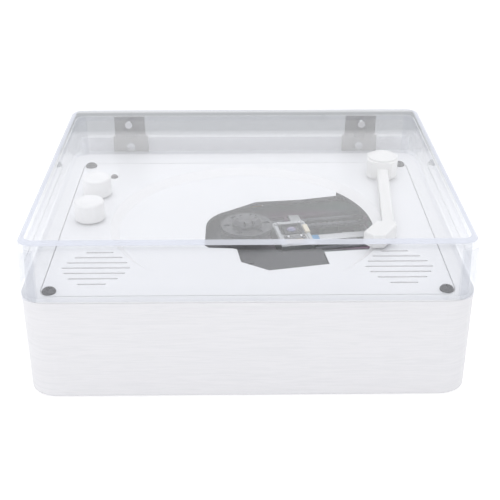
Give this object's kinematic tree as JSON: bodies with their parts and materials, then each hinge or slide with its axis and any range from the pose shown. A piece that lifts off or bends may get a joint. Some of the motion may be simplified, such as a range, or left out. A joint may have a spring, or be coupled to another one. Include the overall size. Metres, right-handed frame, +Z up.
{
  "type": "wall mounted disc player",
  "caption": "Compact disc player in a wood-grain case, with a clear hinged cover, an open disc well, a swinging pickup-style arm and two control knobs.",
  "frame": {"origin": "middle of the base, on the plane that the feet stand on", "axes": "+X to the right, +Y from the front to the hinges, +Z up out of the deck"},
  "size_m": [0.1998, 0.1766, 0.0771],
  "materials": {
    "case_white": "embossed wood-grain film, satin",
    "deck_white": "smooth satin",
    "arm_cream": "satin",
    "knob_white": "soft gloss",
    "clear_plastic": "polished clear",
    "lens_glass": "coated lens",
    "eye_dark": "dark gloss",
    "panel_grey": "fine texture",
    "black_plastic": "fine texture",
    "hub_grey": "satin",
    "connector_beige": "satin",
    "black_rubber": "matte",
    "steel": "brushed",
    "bright_steel": "bright plated",
    "black_steel": "black oxide",
    "pickup_metal": "die cast",
    "board_green": "solder mask",
    "ribbon_white": "satin",
    "paper_cone": "felted paper",
    "battery_blue": "shrink wrap",
    "lead_red": "insulation",
    "brass": "satin"
  },
  "bodies": {
    "case": {"case_shell": "case_white", "bottom_panel": "panel_grey", "bottom_screws": "bright_steel", "rubber_feet": "black_rubber", "deck_plate": "deck_white", "deck_screws": "black_steel", "remote_eye": "eye_dark", "volume_control": "black_plastic", "control_nuts": "steel", "encoder": "black_plastic", "arm_base": "arm_cream", "hinge_lower_leaves": "steel", "hinge_pins": "bright_steel", "rail_screws": "bright_steel", "drive_plate": "black_plastic", "drive_front_cover": "black_plastic", "drive_dampers": "black_rubber", "drive_screws": "bright_steel", "spindle_motor": "steel", "guide_rods": "bright_steel", "feed_motor": "steel", "pickup_ribbon": "ribbon_white", "left_speaker_basket": "black_steel", "left_speaker_cone": "paper_cone", "left_speaker_magnet": "steel", "right_speaker_basket": "black_steel", "right_speaker_cone": "paper_cone", "right_speaker_magnet": "steel", "speaker_screws": "bright_steel", "main_board": "board_green", "board_parts": "black_plastic", "board_screws": "bright_steel", "power_socket": "bright_steel", "audio_socket": "black_plastic", "battery": "battery_blue", "battery_strap": "steel", "speaker_leads": "lead_red"},
    "cover": {"clear_cover": "clear_plastic", "hinge_upper_leaves": "steel", "cover_screws": "bright_steel"},
    "arm": {"arm_turret": "arm_cream", "arm_cap": "arm_cream", "arm_bar": "arm_cream", "arm_head": "arm_cream", "arm_pin": "steel", "arm_clip": "black_steel"},
    "volume": {"volume_knob": "knob_white", "volume_shaft": "steel"},
    "selector_ring": {"encoder_rotor": "brass"},
    "selector": {"press_knob": "knob_white", "press_shaft": "steel"},
    "hub": {"spindle_shaft": "bright_steel", "disc_hub": "hub_grey"},
    "pickup": {"pickup_body": "pickup_metal", "pickup_connector": "connector_beige"},
    "focus": {"lens_holder": "black_plastic", "lens": "lens_glass"},
    "feed": {"feed_screw": "bright_steel"}
  },
  "joints": [
    {"name": "cover_hinge", "type": "hinge", "parent": "case", "child": "cover", "pos_m": [0, 0.0847, 0.0599], "axis": [-1, 0, 0], "range_deg": [0, 85]},
    {"name": "arm_swing", "type": "hinge", "parent": "case", "child": "arm", "pos_m": [0.075, 0.047, 0.0497], "axis": [0, 0, 1], "range_deg": [-21, 14.5]},
    {"name": "volume_turn", "type": "hinge", "parent": "case", "child": "volume", "pos_m": [-0.0786, -0.00645, 0.0497], "axis": [0, 0, 1], "range_deg": [-150, 150]},
    {"name": "selector_turn", "type": "hinge", "parent": "case", "child": "selector_ring", "pos_m": [-0.0786, 0.02315, 0.0497], "axis": [0, 0, 1], "continuous": true},
    {"name": "selector_press", "type": "slide", "parent": "selector_ring", "child": "selector", "axis": [0, 0, -1], "range_m": [0, 0.0005], "stiffness_N_per_m": 400, "springref_m": -0.0005},
    {"name": "disc_spin", "type": "hinge", "parent": "case", "child": "hub", "pos_m": [0, -0.00845, 0.0474], "axis": [0, 0, 1], "continuous": true},
    {"name": "pickup_travel", "type": "slide", "parent": "case", "child": "pickup", "axis": [0.9863, 0.165, 0], "range_m": [0, 0.034]},
    {"name": "feed_turn", "type": "hinge", "parent": "case", "child": "feed", "pos_m": [0.02764, 0.00814, 0.0374], "axis": [0.9863, 0.165, 0], "range_deg": [0, 4081]},
    {"name": "lens_focus", "type": "slide", "parent": "pickup", "child": "focus", "axis": [0, 0, 1], "range_m": [-0.0004, 0.0004], "stiffness_N_per_m": 40}
  ],
  "couplings": [
    {"joint": "feed_turn", "follows": "pickup_travel", "rad_per_m": 2094.4}
  ]
}
